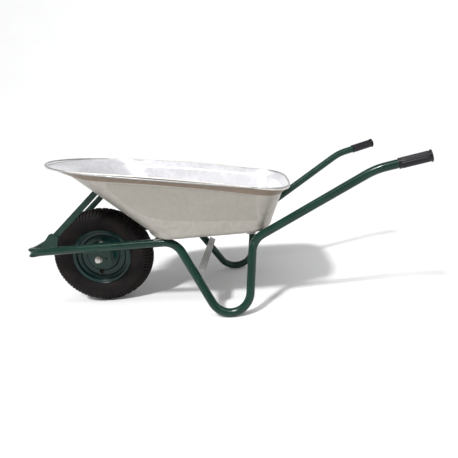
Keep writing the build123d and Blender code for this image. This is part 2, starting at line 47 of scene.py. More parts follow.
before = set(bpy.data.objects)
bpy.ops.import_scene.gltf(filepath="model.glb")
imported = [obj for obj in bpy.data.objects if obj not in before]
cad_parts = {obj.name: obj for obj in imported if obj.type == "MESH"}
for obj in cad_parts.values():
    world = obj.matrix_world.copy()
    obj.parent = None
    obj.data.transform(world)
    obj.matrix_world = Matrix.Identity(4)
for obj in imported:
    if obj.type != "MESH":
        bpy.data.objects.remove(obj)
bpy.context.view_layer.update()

# Places taken from the frame.
TYRE_LOW, TYRE_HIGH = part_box("tyre")
WHEEL_CENTRE = (TYRE_LOW + TYRE_HIGH) / 2
AXLE_X = WHEEL_CENTRE.x
EDGE_LOW, EDGE_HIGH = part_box("tray_rolled_rim")
SIDES = {"left": -1, "right": 1}

# Tray. Its X values are distances from the axle. The frame's box takes in the CAD edge's radius.
EDGE_RADIUS = 0.0045
ROLL_RADIUS = 0.0029
ROLL_AROUND = 14
ROLL_SEAT = 0.4
SHEET = 0.0015
NOSE_TAPER = 0.017
RIM_FRONT = EDGE_LOW.x + EDGE_RADIUS - AXLE_X
RIM_REAR = EDGE_HIGH.x - EDGE_RADIUS - AXLE_X
RIM_HALF_HEEL = EDGE_HIGH.y - EDGE_RADIUS
RIM_HALF_NOSE = RIM_HALF_HEEL - NOSE_TAPER
RIM_HIGH = EDGE_HIGH.z - EDGE_RADIUS
RIM_LOW = EDGE_LOW.z + EDGE_RADIUS
NOSE_CENTRE = 0.150
HEEL_CENTRE = 0.600
HEEL_SQUARENESS = 3.2
LIP_FRONT = 0.078
LIP_REAR = 0.020
BAND_TUCK = 0.0085
BAND_STATIONS = (0.0, 0.12, 0.3, 0.6, 0.85, 0.96)
WALL_TOP = 0.004
WALL_LEVELS = 72
NOSE_STEPS = 40
SIDE_STEPS = 60
HEEL_STEPS = 44

# Pressed side panel: along X from the axle, and down the wall as a share of its depth.
PANEL_FRONT = 0.125
PANEL_REAR = 0.655
PANEL_EDGE = 0.020
PANEL_TOP = (0.012, 0.04)
PANEL_REACH = 0.78
PANEL_SWEEP = 0.075
PANEL_FOOT = 0.022
PANEL_FACING = (0.80, 0.93)
# Pressed shares between which the painted shade of the side panels fades in.
PANEL_SHADE_MARKS = (0.3, 0.7)

# Tray floor, and the bend between it and the walls.
FLOOR_FRONT = 0.219
FLOOR_REAR = 0.690
FLOOR_NOSE_CENTRE = 0.330
FLOOR_HEEL_CENTRE = 0.590
FLOOR_HALF_NOSE = 0.188
FLOOR_HALF_HEEL = 0.196
FLOOR_HEIGHT = 0.2958
FLOOR_DATUM = 0.285
FLOOR_RISE = 0.0314
FLOOR_BEND = 0.025
BEND_SPREAD = 0.55
BEND_NOSE_SPREAD = 1.2
BEND_STATIONS = (0.75, 0.5, 0.3, 0.16, 0.07, 0.02, 0.0)
FLOOR_SHARES = (0.95, 0.8, 0.6, 0.4, 0.2, 0.05)

# Frame tube on the right side, as its sharp corners before bending: X from the axle, Z from the ground.
TUBE_RADIUS = 0.016
TUBE_AROUND = 28
RAIL_NOSE = Vector((-0.240, 0.0795, 0.2495))
RAIL_HUMP = Vector((0.3297, 0.1602, 0.282))
FOOT = Vector((0.5753, 0.296, -0.1601))
KNEE = Vector((0.622, 0.186, 0.277))
WRIST = Vector((1.058, 0.304, 0.5388))
TUBE_END = Vector((1.233, 0.3453, 0.5802))
NOSE_BEND = 0.0135
BENDS = [NOSE_BEND, 0.080, 0.0777, 0.080, 0.250]
BEND_STEP = 0.0025
BEND_LEAST_STEPS = 10
STRAIGHT_STEP = 0.012

# Crease at each sharp nose bend. CRIMP_SEAT is in bend radii, CRIMP_REACH in metres and
# CRIMP_DENT_WIDTH in radians. The others say how much the section changes at full crease.
CRIMP_SEAT = 0.2
CRIMP_REACH = 0.023
CRIMP_LEAST = 0.002
CRIMP_SQUARENESS = 0.5
CRIMP_BULGE = 0.30
CRIMP_DENT = 0.55
CRIMP_DENT_WIDTH = 0.55
CRIMP_TUCK = 0.3
CRIMP_SPREAD = 0.14

# Weld beads.
WELD_STEP = 0.0008
WELD_LEAST_STEPS = 12
WELD_AROUND = 10
WELD_RIPPLE = 0.16
WELD_RIPPLE_STEPS = 5
BRACKET_SEAM_OFF = 0.0095
BRACKET_SEAM_DROP = 0.0012
BRACKET_SEAM_INSET = 0.004
GUSSET_SEAM_LIFT = 0.0006
GUSSET_SEAM_INSET = 0.006

# Tyre casing, as distances from the wheel's middle plane and radii from the axle.
CASING = [
    (0.0276, 0.1039), (0.0310, 0.1043), (0.0313, 0.1122), (0.0328, 0.1160), (0.0345, 0.1172),
    (0.0354, 0.1196), (0.0366, 0.1212), (0.0392, 0.1262), (0.0424, 0.1350), (0.0442, 0.1450),
    (0.0446, 0.1530), (0.0432, 0.1600), (0.0434, 0.1630), (0.0414, 0.1670), (0.0376, 0.1725),
    (0.0330, 0.1780), (0.0245, 0.1854), (0.0120, 0.1909), (0.0, 0.1927),
]
CASING_INSIDE = [
    (0.0230, 0.1120), (0.0350, 0.1280), (0.0405, 0.1500), (0.0375, 0.166), (0.029, 0.177), (0.0, 0.186),
]
CASING_STEPS = 4
CASING_INSIDE_STEPS = 2
CASING_TURNS = 168
CROWN_START = 0.162

# Tread. LUG_SHARE is the lug's width in pitches. LUG_FOOT, LUG_TOP and BLOCK_WIDTH are in lug widths,
# turns and leans in pitches, and the rest in metres, with stations measured from the middle plane.
TREAD_RADIUS = 0.19
LUG_SHARE = 0.55
LUG_FOOT = 0.58
LUG_TOP = 0.46
LUG_ROOT = 0.0015
LUG_BEVEL = 0.0008
LUG_LEAN = 0.25
LUG_STATIONS = (0.0190, 0.0235, 0.028, 0.0325, 0.0365, 0.0400, 0.0418)
BLOCK_WIDTH = 2.3
BLOCK_TURN = 0.3
BLOCK_LEAN = 0.8
BLOCK_STATIONS = (0.0020, 0.007, 0.012, 0.0165)

# Grip. Stations, starts and ends are distances from its mouth along the handle.
GRIP_TO_TUBE_END = 0.107
GRIP_BODY_RADIUS = 0.0181
RIB_SHARPNESS = 0.7
RIB_AROUND = 8
RIBS_START = (0.008, 0.011)
RIBS_END = (0.100, 0.103)
COLLAR_RISE = 0.0014
COLLAR_END = (0.0055, 0.0075)
FLANGE_RISE = 0.0034
FLANGE_START = (0.1035, 0.106)
GRIP_STATIONS = (
    0.0, 0.0008, 0.0050, 0.0062, 0.0070, 0.0080, 0.0095, 0.0110, 0.03, 0.05, 0.07, 0.09, 0.100, 0.1015,
    0.103, 0.1040, 0.1050, 0.1062, 0.1095, 0.1108, 0.1116, 0.1120,
)
GRIP_ROUNDING = {0.0: 0.0012, 0.1108: 0.0007, 0.1116: 0.0020, 0.1120: 0.0045}

# Studio floor, lamps and camera. Lamp directions point from the barrow to the lamp.
STUDIO_DISC = 3.0
STUDIO_FLAT = 7.0
STUDIO_SWEEP = 6.0
STUDIO_SWEEP_STEPS = 12
STUDIO_SLOPE = radians(42)
STUDIO_RUN = 8.0
STUDIO_AROUND = 96
KEY_TOWARDS = Vector((-0.38, -0.48, 0.79))
KEY_SPREAD = radians(7)
STRIP_SIZE = (5.0, 0.22)
STRIP_PLACE = (0.1, -0.95, 2.7)
STRIP_TOWARDS = Vector((0, -0.95, 2.3))
SKY_COLOUR = (0.97, 0.98, 1.0, 1)
CAMERA_SENSOR = 36.0
CAMERA_LENS = 30.50
CAMERA_SHIFT = (-0.131, -0.0474)
CAMERA_PLACE = (AXLE_X + 0.6557, -1.5979, 0.7249)
CAMERA_TURN = -radians(4.3924)
CAMERA_DOWN = radians(13.0978)
CAMERA_ROLL = -radians(2.3822)
CAMERA_REACH = 100.0


# ---------------------------------------------------------------- settings

def colour(text, value):
    """A colour property in linear light."""
    return FloatVectorProperty(
        name=text, description=text, default=value, size=3, subtype="COLOR", min=0, max=1
    )


def length(text, value, note):
    """A length property in metres."""
    return FloatProperty(name=text, description=note, default=value, unit="LENGTH", precision=4)


class TraySettings(PropertyGroup):
    """Sizes and colours of the sheet tray."""

    rim_arch: length("Rim arch", 0.0165, "How far the rim's ends hang below its middle")
    rim_lift: length("Rim lift", 0.0079, "How far the rim's middle stands above a straight rim")
    band_depth: length("Band depth", 0.025, "Depth of the band under the rolled edge")
    panel_relief: length("Panel relief", 0.0030, "How far the side panels are pressed in")
    # Both faces are the same zinc: the inside is painted lighter as lit sheet, the outside darker, partly
    # dust and partly painted shade.
    inside: colour("Sheet inside painted light", (0.79, 0.785, 0.81))
    outside: colour("Sheet outside dust and painted shade", (0.37, 0.345, 0.31))
    edge: colour("Rolled edge", (0.66, 0.63, 0.59))
    # Painted shade of the pressed-in side panels.
    panel: colour("Side panels painted shade", (0.285, 0.275, 0.24))
    band: colour("Band", (0.20, 0.155, 0.118))


class WheelSettings(PropertyGroup):
    """Tread and colours of the wheel."""

    lugs: IntProperty(name="Lugs", description="Shoulder lugs round the tyre", default=84, min=12)
    lug_height: length("Lug height", 0.0052, "How far the tread stands above the casing")
    tyre: colour("Tyre", (0.0046, 0.0036, 0.0038))
    paint: colour("Wheel paint", (0.0016, 0.017, 0.0155))


class FrameSettings(PropertyGroup):
    """Colours and welds of the tubular frame."""

    paint: colour("Frame paint", (0.0028, 0.026, 0.0165))
    weld_radius: length("Weld radius", 0.0024, "Radius of the weld beads")
    bare_steel: colour("Bare angle", (0.26, 0.26, 0.25))


class GripSettings(PropertyGroup):
    """Shape and colour of the handle grips."""

    ribs: IntProperty(name="Ribs", description="Ribs along each grip", default=16, min=6)
    rib_height: length("Rib height", 0.0013, "How far the ribs stand out")
    rubber: colour("Grip rubber", (0.0032, 0.0025, 0.0052))


class StudioSettings(PropertyGroup):
    """Floor, lights and camera."""

    floor: colour("Floor", (0.82, 0.82, 0.82))
    sun_strength: FloatProperty(name="Key strength", description="Strength of the key", default=3.0)
    strip_power: FloatProperty(name="Strip power", description="Watts of the long lamp", default=42.0)
    sky_strength: FloatProperty(name="Sky strength", description="Strength of the sky", default=0.40)


# ---------------------------------------------------------------- mesh helpers

def finish_mesh(name, mesh, materials, crease=38.0):
    """Object of a finished mesh, smooth but for the edges sharper than the crease angle."""
    for material in materials:
        mesh.materials.append(material)
    mesh.shade_smooth()
    mesh.set_sharp_from_angle(angle=radians(crease))
    piece = bpy.data.objects.new(name, mesh)
    bpy.context.scene.collection.objects.link(piece)
    return piece


def mesh_from(name, points, faces):
    """Mesh of points and faces with its normals turned outwards."""
    mesh = bpy.data.meshes.new(name)
    mesh.from_pydata([tuple(p) for p in points], [], faces)
    skin = bmesh.new()
    skin.from_mesh(mesh)
    bmesh.ops.recalc_face_normals(skin, faces=skin.faces)
    skin.to_mesh(mesh)
    skin.free()
    return mesh


def grid_faces(rows, columns, wrap_rows=False):
    """Quads between rings of points, with the last ring joined to the first if asked."""
    faces = []
    for row in range(rows if wrap_rows else rows - 1):
        here, below = row * columns, (row + 1) % rows * columns
        for column in range(columns):
            after = (column + 1) % columns
            faces.append((here + column, here + after, below + after, below + column))
    return faces


def smooth_line(points, steps):
    """Catmull-Rom line through the points."""
    line = []
    ends = [points[0], *points, points[-1]]
    for before, here, there, after in zip(ends, ends[1:], ends[2:], ends[3:]):
        for step in range(steps):
            t = step / steps
            line.append(
                0.5 * (2 * here + (there - before) * t + (2 * before - 5 * here + 4 * there - after) * t**2
                       + (3 * here - before - 3 * there + after) * t**3)
            )
    return [*line, points[-1]]


def swept_ring(points, radius, around, ripple=0.0, waves=0, closed=True):
    """Points and faces of a tube along a line of points, its radius rippled along the line."""
    count = len(points)
    rings = []
    for index, point in enumerate(points):
        if closed:
            ahead = points[(index + 1) % count] - points[index - 1]
        else:
            ahead = points[min(index + 1, count - 1)] - points[max(index - 1, 0)]
        ahead.normalize()
        up = Vector((0, 0, 1)) if abs(ahead.z) < 0.9 else Vector((1, 0, 0))
        side = ahead.cross(up).normalized()
        up = side.cross(ahead)
        size = radius * (1 + ripple * cos(tau * waves * index / count))
        for step in range(around):
            angle = tau * step / around
            rings.append(point + (side * cos(angle) + up * sin(angle)) * size)
    faces = grid_faces(count, around, wrap_rows=closed)
    if not closed:
        faces.append(tuple(range(around)))
        faces.append(tuple(range((count - 1) * around, count * around))[::-1])
    return rings, faces


# ---------------------------------------------------------------- finishes

def new_finish(name, shade, roughness, metallic=0.0, specular=0.5):
    """Material with one even base, to which variation and relief are added."""
    material = bpy.data.materials.new(name)
    material.use_nodes = True
    material.diffuse_color = (*shade, 1)
    shader = material.node_tree.nodes["Principled BSDF"]
    shader.inputs["Base Color"].default_value = (*shade, 1)
    shader.inputs["Roughness"].default_value = roughness
    shader.inputs["Metallic"].default_value = metallic
    shader.inputs["Specular IOR Level"].default_value = specular
    return material


def node(material, kind, inputs=None, **settings):
    """New node, with its settings and its inputs' values or links."""
    made = material.node_tree.nodes.new(kind)
    for key, value in settings.items():
        setattr(made, key, value)
    for key, value in (inputs or {}).items():
        if isinstance(value, bpy.types.NodeSocket):
            material.node_tree.links.new(value, made.inputs[key])
        else:
            made.inputs[key].default_value = value
    return made


def place(material, stretch=(1, 1, 1)):
    """Position on the piece, stretched along the axes."""
    spot = node(material, "ShaderNodeTexCoord").outputs["Object"]
    return node(material, "ShaderNodeMapping", {"Vector": spot, "Scale": stretch}).outputs["Vector"]


def cloud(material, scale, low=0.35, high=0.65, detail=5.0, stretch=(1, 1, 1), distortion=0.0):
    """Soft noise, spread between its low and high marks."""
    noise = node(
        material, "ShaderNodeTexNoise",
        {"Vector": place(material, stretch), "Scale": scale, "Detail": detail, "Distortion": distortion},
    )
    marks = {"Value": noise.outputs["Fac"], "From Min": low, "From Max": high}
    return node(material, "ShaderNodeMapRange", marks).outputs["Result"]


def blend_colour(material, factor, first, second, amount=1.0):
    """Mix of two colours, or of a colour link and a colour."""
    share = node(material, "ShaderNodeMath", {0: factor, 1: amount}, operation="MULTIPLY").outputs[0]
    first = first if isinstance(first, bpy.types.NodeSocket) else (*first, 1)
    second = second if isinstance(second, bpy.types.NodeSocket) else (*second, 1)
    return node(material, "ShaderNodeMix", {0: share, 6: first, 7: second}, data_type="RGBA").outputs[2]


def set_colour(material, socket):
    """Link the shader's colour."""
    shader = material.node_tree.nodes["Principled BSDF"]
    material.node_tree.links.new(socket, shader.inputs["Base Color"])


def set_roughness(material, factor, low, high):
    """Roughness that wanders between low and high."""
    marks = {"Value": factor, "To Min": low, "To Max": high}
    rough = node(material, "ShaderNodeMapRange", marks).outputs["Result"]
    shader = material.node_tree.nodes["Principled BSDF"]
    material.node_tree.links.new(rough, shader.inputs["Roughness"])


def add_relief(material, *layers):
    """Bump from (height link, distance) layers, one over the other."""
    normal = None
    for height, distance in layers:
        inputs = {"Height": height, "Distance": distance, "Strength": 1.0}
        if normal is not None:
            inputs["Normal"] = normal
        normal = node(material, "ShaderNodeBump", inputs).outputs["Normal"]
    shader = material.node_tree.nodes["Principled BSDF"]
    material.node_tree.links.new(normal, shader.inputs["Normal"])


def darker(shade, share):
    """The same colour at a share of its lightness."""
    return tuple(part * share for part in shade)


def paint_finish(name, shade, roughness=0.17):
    """Glossy enamel over steel: orange peel, dusty patches and a few worn spots."""
    material = new_finish(name, shade, roughness, specular=0.30)
    patches = cloud(material, 9.0, 0.3, 0.72, distortion=0.6)
    lighter = tuple(min(1, part * 1.18 + 0.002) for part in shade)
    drift = blend_colour(material, patches, darker(shade, 0.78), lighter)
    dust = cloud(material, 26.0, 0.56, 0.82, detail=8)
    dusty = blend_colour(material, dust, drift, (0.03, 0.045, 0.036), 0.15)
    chips = cloud(material, 120.0, 0.705, 0.72, detail=3)
    set_colour(material, blend_colour(material, chips, dusty, (0.16, 0.13, 0.10), 0.5))
    set_roughness(material, patches, roughness - 0.04, roughness + 0.08)
    peel = cloud(material, 420.0, 0.3, 0.7, detail=2)
    add_relief(material, (peel, 0.00003), (cloud(material, 30.0), 0.00022))
    return material


def zinc_finish(
    name, shade, roughness, metallic, waves=0.0009, stain=(0.30, 0.27, 0.23), panel=None
):
    """Galvanised sheet: faint spangle, cloudy stains, drawing marks, uneven surface, painted shade on the
    pressed side panels.
    """
    material = new_finish(name, shade, roughness, metallic=metallic)
    spangle = node(
        material, "ShaderNodeTexVoronoi", {"Vector": place(material, (1, 1, 0.7)), "Scale": 95.0}
    ).outputs["Color"]
    grain = node(material, "ShaderNodeSeparateColor", {"Color": spangle}).outputs[0]
    lighter = tuple(min(1, part * 1.05) for part in shade)
    flaked = blend_colour(material, grain, darker(shade, 0.93), lighter)
    stains = cloud(material, 7.0, 0.45, 0.8, detail=9, stretch=(1, 1, 1.6), distortion=1.2)
    stained = blend_colour(material, stains, flaked, stain, 0.2)
    streaks = cloud(material, 14.0, 0.5, 0.85, detail=4, stretch=(0.35, 1, 3.0))
    streaked = blend_colour(material, streaks, stained, darker(shade, 0.84), 0.3)
    # Painted shade: where the side panels are pressed in, the sheet is blended towards a darker tone.
    if panel:
        mark = node(material, "ShaderNodeAttribute", attribute_name="pressed").outputs["Fac"]
        low, high = PANEL_SHADE_MARKS
        edge = node(material, "ShaderNodeMapRange", {"Value": mark, "From Min": low, "From Max": high})
        streaked = blend_colour(material, edge.outputs["Result"], streaked, panel, 0.5)
    set_colour(material, streaked)
    set_roughness(material, stains, roughness - 0.06, roughness + 0.12)
    add_relief(
        material,
        (cloud(material, 4.5, 0.2, 0.8, detail=2, distortion=0.8), waves),
        (cloud(material, 60.0, 0.3, 0.7, detail=4, stretch=(0.3, 1, 1)), 0.00008),
    )
    return material


def steel_finish(name, shade, roughness):
    """Plated or bare steel: fine grain, smudges and a little tarnish."""
    material = new_finish(name, shade, roughness, metallic=0.85)
    tarnish = cloud(material, 38.0, 0.42, 0.75, detail=6)
    set_colour(material, blend_colour(material, tarnish, shade, darker(shade, 0.62), 0.7))
    set_roughness(material, tarnish, roughness - 0.06, roughness + 0.14)
    add_relief(material, (cloud(material, 300.0, 0.3, 0.7), 0.00006))
    return material


def rubber_finish(
    name, shade, roughness, dust=(0.030, 0.022, 0.018), dust_share=0.45, specular=0.14
):
    """Matt rubber: mould grain and pale dust that clings in patches."""
    material = new_finish(name, shade, roughness, specular=specular)
    patches = cloud(material, 16.0, 0.42, 0.78, detail=8, distortion=0.5)
    set_colour(material, blend_colour(material, patches, shade, dust, dust_share))
    set_roughness(material, patches, roughness, min(1.0, roughness + 0.2))
    grain = cloud(material, 700.0, 0.3, 0.7, detail=2)
    add_relief(material, (grain, 0.00008), (cloud(material, 60.0), 0.0002))
    return material


def dress(finish, *nodes):
    """Give CAD nodes a finish in place of their plain one."""
    for name in nodes:
        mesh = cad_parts[name].data
        for slot in range(max(1, len(mesh.materials))):
            if slot < len(mesh.materials):
                mesh.materials[slot] = finish
            else:
                mesh.materials.append(finish)


def both(*names):
    """The left and right nodes of each name."""
    return [f"{name}_{side}" for name in names for side in SIDES]


# ---------------------------------------------------------------- tray

def outline(front, rear, nose_centre, heel_centre, half_nose, half_heel):
    """Closed outline as (x, y), x from the axle: elliptical nose, tapering sides and a squarer heel."""
    power = 2 / HEEL_SQUARENESS
    half = []
    for step in range(NOSE_STEPS):
        angle = pi / 2 * step / NOSE_STEPS
        half.append((nose_centre - (nose_centre - front) * cos(angle), half_nose * sin(angle)))
    for step in range(SIDE_STEPS):
        part = step / SIDE_STEPS
        x = nose_centre + (heel_centre - nose_centre) * part
        half.append((x, half_nose + (half_heel - half_nose) * part))
    for step in range(HEEL_STEPS + 1):
        angle = pi / 2 * (1 - step / HEEL_STEPS)
        x = heel_centre + (rear - heel_centre) * max(0.0, cos(angle)) ** power
        half.append((x, half_heel * max(0.0, sin(angle)) ** power))
    return half + [(x, -y) for x, y in reversed(half[1:-1])]


def rim_outline():
    """Outline along the rolled edge."""
    return outline(RIM_FRONT, RIM_REAR, NOSE_CENTRE, HEEL_CENTRE, RIM_HALF_NOSE, RIM_HALF_HEEL)


def band_outline():
    """Outline under the band, where the lips at the nose and the heel end."""
    return outline(
        RIM_FRONT + LIP_FRONT + BAND_TUCK, RIM_REAR - LIP_REAR - BAND_TUCK, NOSE_CENTRE, HEEL_CENTRE,
        RIM_HALF_NOSE - BAND_TUCK, RIM_HALF_HEEL - BAND_TUCK,
    )


def floor_outline(height):
    """Outline this high above the floor, inside the bend."""
    back = FLOOR_BEND * (1 - sqrt(max(0.0, 1 - (1 - height / FLOOR_BEND) ** 2)))
    spread = FLOOR_BEND * BEND_SPREAD - back
    return outline(
        FLOOR_FRONT - spread * BEND_NOSE_SPREAD, FLOOR_REAR + spread, FLOOR_NOSE_CENTRE,
        FLOOR_HEEL_CENTRE, FLOOR_HALF_NOSE + spread, FLOOR_HALF_HEEL + spread,
    )


def rim_height(x, tray):
    """Height of the rolled edge's middle line."""
    along = (x - RIM_FRONT) / (RIM_REAR - RIM_FRONT)
    straight = RIM_HIGH + (RIM_LOW - RIM_HIGH) * along
    return straight + tray.rim_lift - tray.rim_arch * (2 * along - 1) ** 2


def floor_height(x):
    """Height of the tray's floor."""
    return FLOOR_HEIGHT + FLOOR_RISE * (x - FLOOR_DATUM)


def at_rim(points, depth, tray):
    """Points of an outline this far below the rim."""
    return [Vector((AXLE_X + x, y, rim_height(x, tray) - depth)) for x, y in points]


def at_floor(points, height):
    """Points of an outline this far above the floor."""
    return [Vector((AXLE_X + x, y, floor_height(x) + height)) for x, y in points]


def ease(value, low, high):
    """Smooth step from 0 at low to 1 at high."""
    t = min(1.0, max(0.0, (value - low) / (high - low)))
    return t * t * (3 - 2 * t)


def panel_rise(x, down):
    """Share of the panel's relief at a place on a side wall: x from the axle, down from the band."""
    reach = PANEL_REACH * (1 - exp(-max(0.0, x - PANEL_FRONT) / PANEL_SWEEP))
    front = ease(x, PANEL_FRONT, PANEL_FRONT + PANEL_EDGE)
    rear = 1 - ease(x, PANEL_REAR - PANEL_EDGE, PANEL_REAR)
    foot = 1 - ease(down, reach - PANEL_FOOT, reach + PANEL_FOOT)
    return front * rear * ease(down, *PANEL_TOP) * foot


def pressed_ring(upper, lower, down, relief):
    """Ring this share of the way down the wall, and how far its side panels are pressed in."""
    ring = [a.lerp(b, down) for a, b in zip(upper, lower)]
    marks = []
    for before, point, after in zip(ring[-1:] + ring, ring, ring[1:] + ring[:1]):
        out = Vector((after.y - before.y, before.x - after.x, 0)).normalized()
        out *= 1 if out.y * point.y > 0 else -1
        marks.append(ease(abs(out.y), *PANEL_FACING) * panel_rise(point.x - AXLE_X, down))
        ring[len(marks) - 1] = point - out * relief * marks[-1]
    return ring, marks


def tray_rings(tray):
    """Rings of the outer face from under the rolled edge to the floor's middle, with their pressing."""
    top = at_rim(rim_outline(), -ROLL_RADIUS * ROLL_SEAT, tray)
    crease = at_rim(band_outline(), tray.band_depth, tray)
    foot = at_floor(floor_outline(FLOOR_BEND), FLOOR_BEND)
    flat = [0.0] * len(top)
    rings = [([a.lerp(b, part) for a, b in zip(top, crease)], flat) for part in BAND_STATIONS]
    for level in range(WALL_LEVELS + 1):
        down = WALL_TOP + (1 - WALL_TOP) * level / WALL_LEVELS
        rings.append(pressed_ring(crease, foot, down, tray.panel_relief))
    for station in BEND_STATIONS:
        height = FLOOR_BEND * station
        rings.append((at_floor(floor_outline(height), height), flat))
    middle = Vector(((FLOOR_FRONT + FLOOR_REAR) / 2 + AXLE_X, 0, 0))
    bottom = rings[-1][0]
    for share in FLOOR_SHARES:
        ring = []
        for point in bottom:
            level = middle + (Vector((point.x, point.y, 0)) - middle) * share
            ring.append(Vector((level.x, level.y, floor_height(level.x - AXLE_X))))
        rings.append((ring, flat))
    return rings


def make_tray(tray, inside, outside, band):
    """The pressed sheet: outer and inner faces with the sheet's thickness between them."""
    rings = tray_rings(tray)
    around = len(rings[0][0])
    points = [point for ring, marks in rings for point in ring]
    faces = grid_faces(len(rings), around)
    faces.append(tuple(range(len(points) - around, len(points))))
    mesh = mesh_from("tray_sheet", points, faces)
    skin = bmesh.new()
    skin.from_mesh(mesh)
    skin.faces.ensure_lookup_table()
    if skin.faces[-1].normal.z > 0:
        bmesh.ops.reverse_faces(skin, faces=skin.faces)
    pressed = skin.verts.layers.float.new("pressed")
    for vertex, mark in zip(skin.verts, [mark for ring, marks in rings for mark in marks]):
        vertex[pressed] = mark
    for index, face in enumerate(skin.faces):
        face.material_index = 1 if index < around * len(BAND_STATIONS) else 0
    outer = set(skin.faces)
    bmesh.ops.solidify(skin, geom=list(skin.faces), thickness=SHEET)
    for face in skin.faces:
        if face not in outer:
            face.material_index = 2
    bmesh.ops.recalc_face_normals(skin, faces=skin.faces)
    skin.to_mesh(mesh)
    skin.free()
    return finish_mesh("tray_sheet", mesh, [outside, band, inside], crease=30)


def make_rolled_edge(tray, finish):
    """The sheet's edge, rolled round its wire."""
    name = "tray_rolled_edge"
    points, faces = swept_ring(at_rim(rim_outline(), 0, tray), ROLL_RADIUS, ROLL_AROUND)
    return finish_mesh(name, mesh_from(name, points, faces), [finish])


# ---------------------------------------------------------------- tyre

def casing_radius(across):
    """Radius of the casing's crown at this distance from the middle plane."""
    crown = [(y, r) for y, r in CASING if r > CROWN_START][::-1]
    for (y0, r0), (y1, r1) in zip(crown, crown[1:]):
        if y0 <= across <= y1:
            return r0 + (r1 - r0) * (across - y0) / (y1 - y0)
    return crown[-1][1]


def about_axle(across, radius, angle):
    """Point at this distance along the axle, radius and angle round it."""
    return Vector((AXLE_X + radius * cos(angle), across, WHEEL_CENTRE.z + radius * sin(angle)))


def casing_shell():
    """Closed section of the casing, revolved."""
    half = smooth_line([Vector(p) for p in CASING], CASING_STEPS)
    inside = smooth_line([Vector(p) for p in CASING_INSIDE], CASING_INSIDE_STEPS)
    section = [*half, *[Vector((-p.x, p.y)) for p in half[-2::-1]]]
    section += [Vector((-p.x, p.y)) for p in inside] + inside[-2::-1]
    angles = [tau * turn / CASING_TURNS for turn in range(CASING_TURNS)]
    points = [about_axle(p.x, p.y, angle) for p in section for angle in angles]
    return points, grid_faces(len(section), CASING_TURNS, wrap_rows=True)


def lug(points, faces, angle, width, stations, lean, height):
    """One tread block that follows the casing between its stations, leaning round the tyre."""
    first = len(points)
    across_lug = ((-LUG_FOOT, -LUG_ROOT), (-LUG_TOP, height), (LUG_TOP, height), (LUG_FOOT, -LUG_ROOT))
    for index, across in enumerate(stations):
        base = casing_radius(abs(across))
        share = index / (len(stations) - 1)
        end = index in (0, len(stations) - 1)
        turn = angle + lean * share
        for offset, lift in across_lug:
            radius = base + (lift - (LUG_BEVEL if end and lift > 0 else 0))
            points.append(about_axle(across, radius, turn + offset * width / base))
    for index in range(len(stations) - 1):
        row = first + index * 4
        for corner in range(4):
            after = (corner + 1) % 4
            faces.append((row + corner, row + after, row + 4 + after, row + 4 + corner))
    faces.append((first + 3, first + 2, first + 1, first))
    end = first + (len(stations) - 1) * 4
    faces.append((end, end + 1, end + 2, end + 3))


def make_tyre(wheel, finish):
    """Casing with shoulder lugs and two rows of middle blocks."""
    points, faces = casing_shell()
    pitch = tau / wheel.lugs
    width = LUG_SHARE * pitch * TREAD_RADIUS
    for index in range(wheel.lugs):
        for side in SIDES.values():
            angle = pitch * (index + (0.5 if side > 0 else 0.0))
            shoulder = [side * y for y in LUG_STATIONS]
            lug(points, faces, angle, width, shoulder, pitch * LUG_LEAN, wheel.lug_height)
            if index % 2 == 0:
                block = [side * y for y in BLOCK_STATIONS]
                turned, lean = angle + pitch * BLOCK_TURN, pitch * BLOCK_LEAN
                lug(points, faces, turned, width * BLOCK_WIDTH, block, lean, wheel.lug_height)
    name = "tyre_with_tread"
    return finish_mesh(name, mesh_from(name, points, faces), [finish], crease=32)


# ---------------------------------------------------------------- grips

def on_side(point, side):
    """A right side's point with X from the axle, in the barrow's frame and on the given side."""
    return Vector((AXLE_X + point.x, side * point.y, point.z))


def grip_radius(along, angle, grip):
    """Radius of the grip's skin: collar, ribbed body, end flange."""
    rib = grip.rib_height * (0.5 + 0.5 * cos(grip.ribs * angle)) ** RIB_SHARPNESS
    body = GRIP_BODY_RADIUS + rib * ease(along, *RIBS_START) * (1 - ease(along, *RIBS_END))
    collar = COLLAR_RISE * (1 - ease(along, *COLLAR_END))
    flange = FLANGE_RISE * ease(along, *FLANGE_START)
    return body + collar + flange


def make_grip(name, side, grip, finish):
    """Ribbed rubber sleeve with a collar at its mouth and a domed flange at its end."""
    tip = on_side(TUBE_END, side)
    along = (tip - on_side(WRIST, side)).normalized()
    across = along.cross(Vector((0, 0, 1))).normalized()
    up = across.cross(along)
    start = tip - along * GRIP_TO_TUBE_END
    around = grip.ribs * RIB_AROUND
    points = []
    for station in GRIP_STATIONS:
        for step in range(around):
            angle = tau * step / around
            radius = grip_radius(station, angle, grip) - GRIP_ROUNDING.get(station, 0.0)
            spoke = across * cos(angle) + up * sin(angle)
            points.append(start + along * station + spoke * radius)
    faces = grid_faces(len(GRIP_STATIONS), around)
    faces.append(tuple(range(around))[::-1])
    faces.append(tuple(range(len(points) - around, len(points))))
    return finish_mesh(name, mesh_from(name, points, faces), [finish], crease=45)


# ---------------------------------------------------------------- frame tube

def rounded_route(corners, radii):
    """Points along a line of corners whose bends have these radii."""
    line = [corners[0]]
    for before, here, there, radius in zip(corners, corners[1:], corners[2:], radii):
        back, ahead = (before - here).normalized(), (there - here).normalized()
        half = back.angle(ahead) / 2
        middle = here + (back + ahead).normalized() * (radius / sin(half))
        start = here + back * (radius / tan(half)) - middle
        end = here + ahead * (radius / tan(half)) - middle
        turn = pi - 2 * half
        count = max(BEND_LEAST_STEPS, int(turn * radius / BEND_STEP))
        for index in range(count + 1):
            share = index / count
            arm = (start * sin((1 - share) * turn) + end * sin(share * turn)) / sin(turn)
            line.append(middle + arm)
    line.append(corners[-1])
    dense = [line[0]]
    for point in line[1:]:
        first = dense[-1]
        pieces = max(1, int((point - first).length / STRAIGHT_STEP))
        dense += [first.lerp(point, index / pieces) for index in range(1, pieces + 1)]
    return dense


